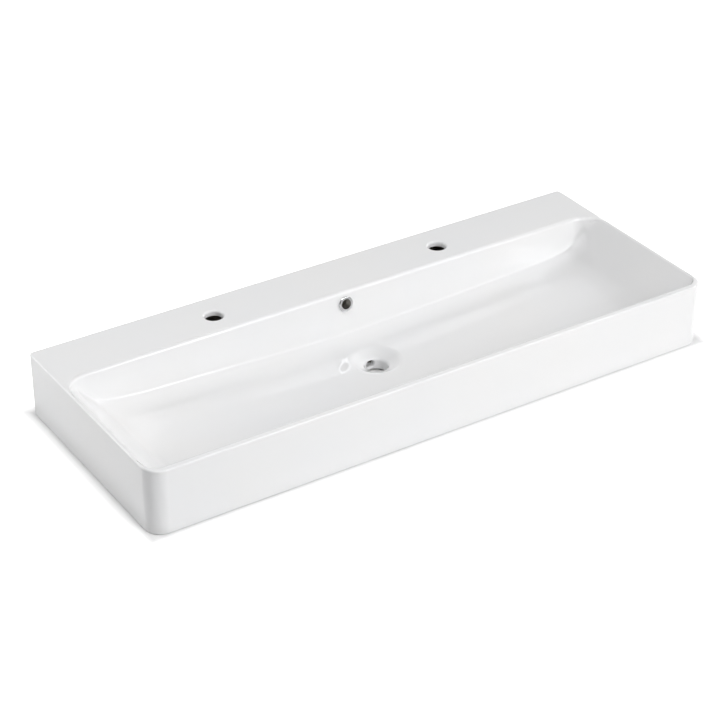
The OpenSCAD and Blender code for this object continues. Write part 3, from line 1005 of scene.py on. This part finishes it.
def stage_floor():
    """A pale floor that a camera sees as white away from the sink and dark under it; its glow fades out
    towards the sink, a painted soft shadow round the foot.
    """
    mesh = bpy.data.meshes.new("floor")
    corners = [(-1, -1), (1, -1), (1, 1), (-1, 1)]
    mesh.from_pydata([(x * FLOOR_HALF, y * FLOOR_HALF, 0) for x, y in corners], [], [(0, 1, 2, 3)])
    floor = bpy.data.objects.new("floor", mesh)
    bpy.context.scene.collection.objects.link(floor)
    made, nodes, where = material("floor")
    place = nodes.add("ShaderNodeSeparateXYZ", {0: where}).outputs
    past_x = nodes.math("SUBTRACT", nodes.math("ABSOLUTE", place[0]), HALF_L * MM)
    past_y = nodes.math("SUBTRACT", nodes.math("ABSOLUTE", place[1]), DEPTH / 2 * MM)
    # The glow is nothing under the sink and fades in past its outline: a painted soft shadow round the foot
    glow_past_painted_shadow = nodes.ranged(nodes.math("MAXIMUM", past_x, past_y), 0, FLOOR_LIFT, 0, PAINTED_SHADOW_REACH)
    rays = nodes.add("ShaderNodeLightPath").outputs
    seen = nodes.math("MAXIMUM", rays["Is Camera Ray"], rays["Is Glossy Ray"])
    seen = nodes.math("MAXIMUM", seen, rays["Is Transmission Ray"])
    lift = nodes.add("ShaderNodeEmission", {"Strength": nodes.math("MULTIPLY", glow_past_painted_shadow, seen)})
    matt = nodes.add("ShaderNodeBsdfDiffuse", {"Color": FLOOR_COLOUR})
    nodes.finish(nodes.add("ShaderNodeAddShader", {0: matt.outputs[0], 1: lift.outputs[0]}).outputs[0])
    mesh.materials.append(made)
    floor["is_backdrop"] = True


def lamp(name, place, aim, width, height, strength):
    """A soft rectangular lamp; strength is what it gives a white surface that faces it at its aim."""
    data = bpy.data.lights.new(name, "AREA")
    data.shape = "RECTANGLE"
    data.size, data.size_y = width, height
    way = Vector(aim) - Vector(place)
    data.energy = strength * math.pi**2 * way.length**2
    made = bpy.data.objects.new(name, data)
    made.matrix_world = Matrix.Translation(place) @ way.to_track_quat("-Z", "Y").to_matrix().to_4x4()
    made.visible_camera = False
    bpy.context.scene.collection.objects.link(made)


def lamp_around(bearing, height, width, tall, strength, distance=LAMP_DISTANCE):
    """Bearing 0 is straight in front of the sink, 90 at its left end; height is over its deck."""
    a, e = math.radians(bearing), math.radians(height)
    out, up = distance * math.cos(e), distance * math.sin(e)
    place = (-out * math.sin(a), -out * math.cos(a), up + LAMP_BASE)
    lamp(f"lamp_{bearing:.0f}_{height:.0f}", place, LAMP_AIM, width, tall, strength)


def world(level):
    made = bpy.context.scene.world or bpy.data.worlds.new("world")
    bpy.context.scene.world = made
    nodes = Nodes(made)
    camera_ray = nodes.add("ShaderNodeLightPath").outputs["Is Camera Ray"]
    strength = nodes.ranged(camera_ray, level, 1, 0, 1)
    light = nodes.add("ShaderNodeBackground", {"Strength": strength})
    nodes.finish(light.outputs[0], "ShaderNodeOutputWorld")


# The camera, solved from the photograph's straight edges
CAMERA_LENS = 106.23
CAMERA_TURN = math.radians(32.876)
CAMERA_TILT = math.radians(31.604)
CAMERA_ROLL = math.radians(0.128)
CAMERA_AIM = Vector((0, 0.0175, 0.075))
CAMERA_DISTANCE = 4.01417
AIM_RIGHT = 0.00441
AIM_UP = 0.01109


def camera():
    """Looks along (turn, tilt), with the aim a little right of the picture's middle and above it."""
    data = bpy.data.cameras.new("camera")
    data.lens = CAMERA_LENS
    made = bpy.data.objects.new("camera", data)
    bpy.context.scene.collection.objects.link(made)
    bpy.context.scene.camera = made
    turn_sin, turn_cos = math.sin(CAMERA_TURN), math.cos(CAMERA_TURN)
    tilt_sin, tilt_cos = math.sin(CAMERA_TILT), math.cos(CAMERA_TILT)
    roll_sin, roll_cos = math.sin(CAMERA_ROLL), math.cos(CAMERA_ROLL)
    forward = Vector((turn_sin * tilt_cos, turn_cos * tilt_cos, -tilt_sin))
    level = Vector((turn_cos, -turn_sin, 0))
    upright = Vector((turn_sin * tilt_sin, turn_cos * tilt_sin, tilt_cos))
    right = roll_cos * level + roll_sin * upright
    up = roll_cos * upright - roll_sin * level
    place = CAMERA_AIM - CAMERA_DISTANCE * (AIM_RIGHT * right + AIM_UP * up + forward)
    columns = Matrix((right, up, -forward)).transposed().to_4x4()
    made.matrix_world = Matrix.Translation(place) @ columns


camera()
stage_floor()
world(0)
for lamp_values in LAMPS:
    lamp_around(*lamp_values)

view = bpy.context.scene.view_settings
view.view_transform = "Standard"

seen_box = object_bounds()
[[list(c) for c in box] for box in (cad_box, seen_box)]
